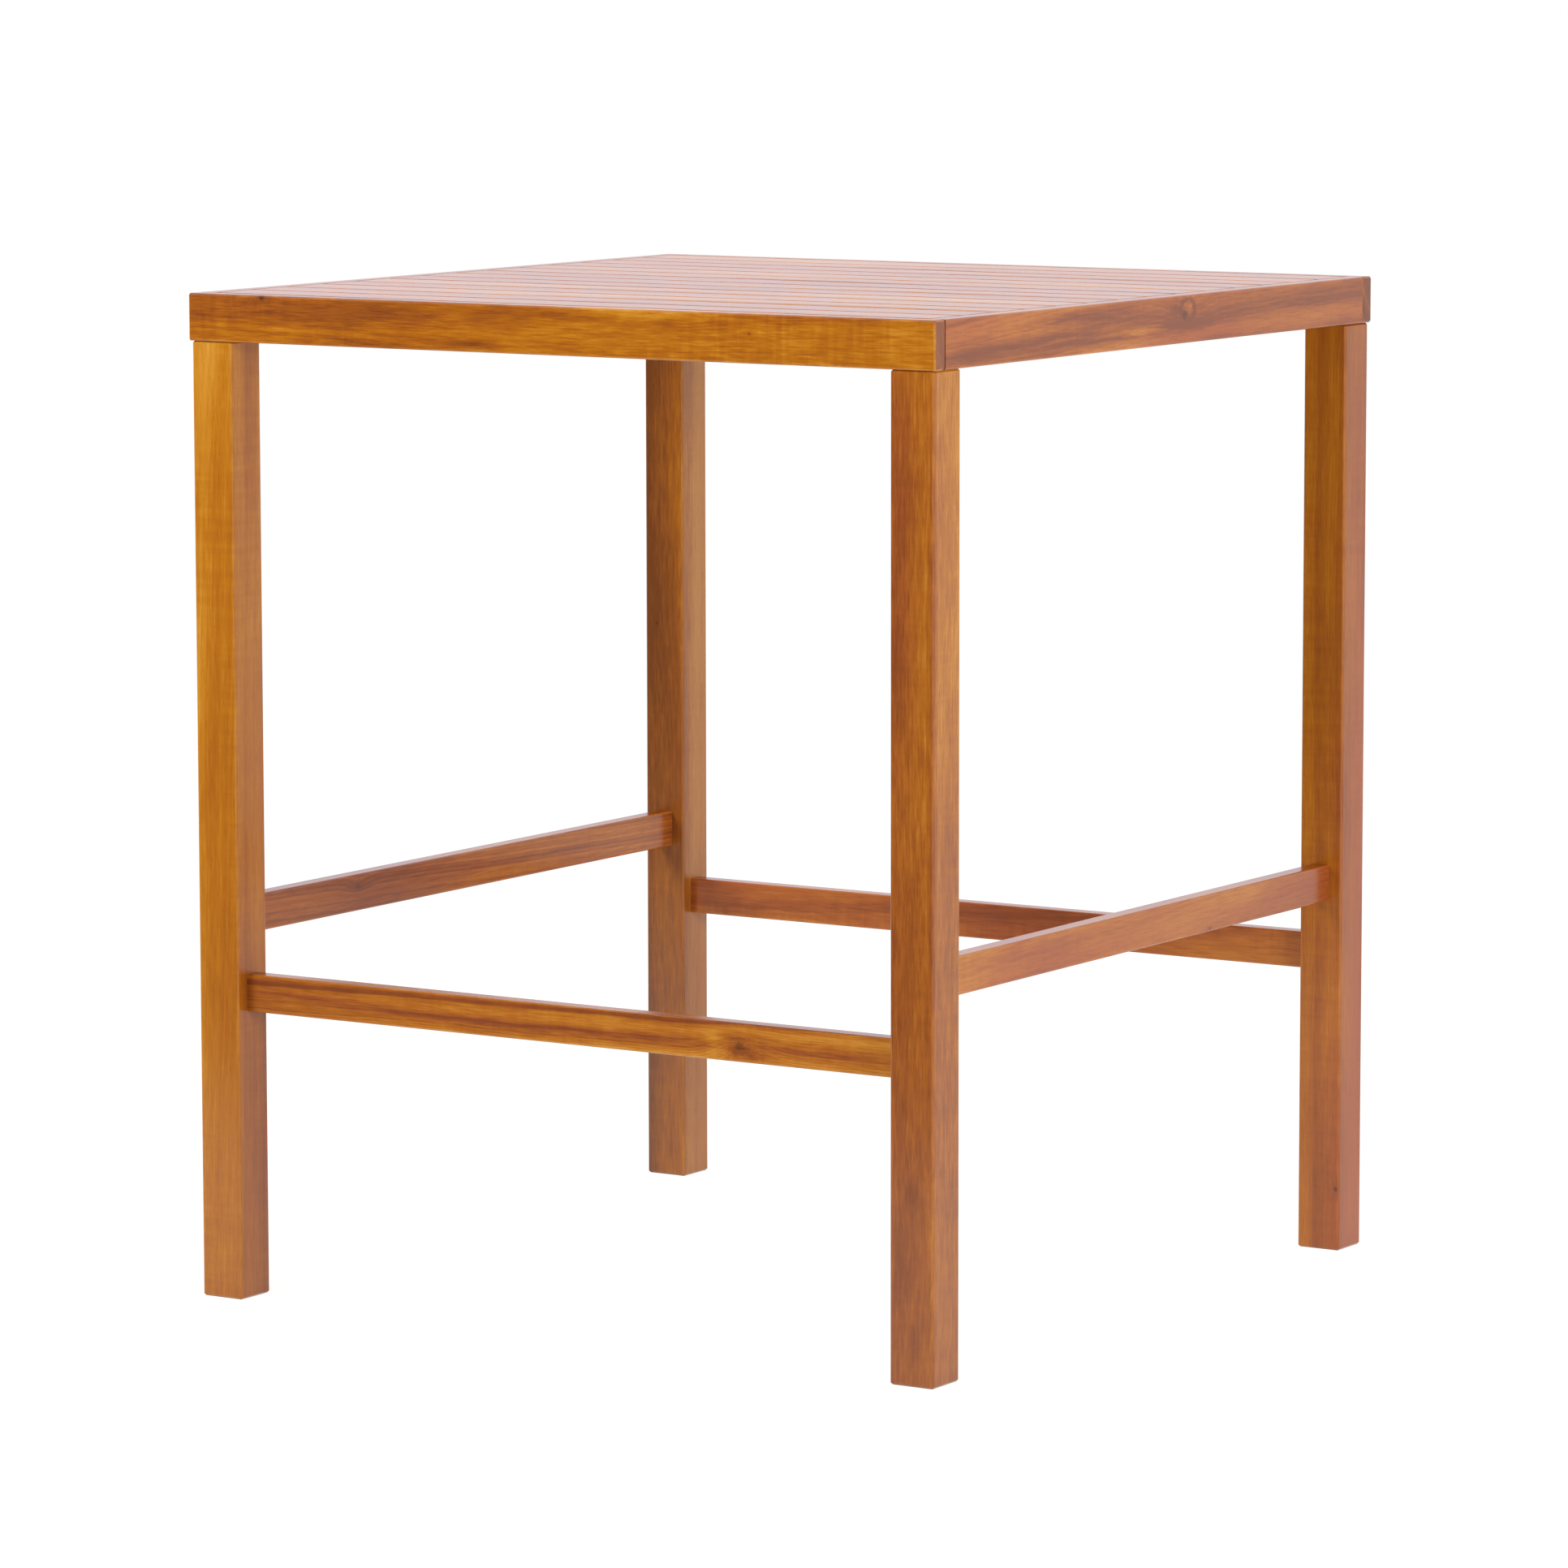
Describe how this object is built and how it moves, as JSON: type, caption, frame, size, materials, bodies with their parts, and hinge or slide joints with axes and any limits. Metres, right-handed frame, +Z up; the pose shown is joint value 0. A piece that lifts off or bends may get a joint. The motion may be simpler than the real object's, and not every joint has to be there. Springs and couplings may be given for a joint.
{
  "type": "outdoor bar table",
  "caption": "Square bar-height garden table: slatted wooden top in a frame of rails, on straight square legs tied by stretchers.",
  "frame": {"origin": "on the floor under the middle of the table top", "axes": "+X to the right along the slats, +Y from the front of the table to its back, +Z up"},
  "size_m": [0.914, 0.914, 1.067],
  "materials": {
    "oiled_acacia": "semi-gloss oil",
    "zinc_steel": "zinc plated"
  },
  "bodies": {
    "root": {"leg_front_left": "oiled_acacia", "leg_front_right": "oiled_acacia", "leg_back_left": "oiled_acacia", "leg_back_right": "oiled_acacia", "stretcher_front": "oiled_acacia", "stretcher_back": "oiled_acacia", "stretcher_left": "oiled_acacia", "stretcher_right": "oiled_acacia", "rail_front": "oiled_acacia", "rail_back": "oiled_acacia", "rail_left": "oiled_acacia", "rail_right": "oiled_acacia", "slat_01": "oiled_acacia", "slat_02": "oiled_acacia", "slat_03": "oiled_acacia", "slat_04": "oiled_acacia", "slat_05": "oiled_acacia", "slat_06": "oiled_acacia", "slat_07": "oiled_acacia", "slat_08": "oiled_acacia", "slat_09": "oiled_acacia", "slat_10": "oiled_acacia", "slat_11": "oiled_acacia", "slat_12": "oiled_acacia", "slat_13": "oiled_acacia", "slat_14": "oiled_acacia", "batten": "oiled_acacia", "corner_block_front_left": "oiled_acacia", "corner_block_front_right": "oiled_acacia", "corner_block_back_right": "oiled_acacia", "corner_block_back_left": "oiled_acacia", "slat_screws": "zinc_steel", "block_screws": "zinc_steel", "hanger_bolts": "zinc_steel", "washers": "zinc_steel", "nuts": "zinc_steel"}
  },
  "joints": []
}
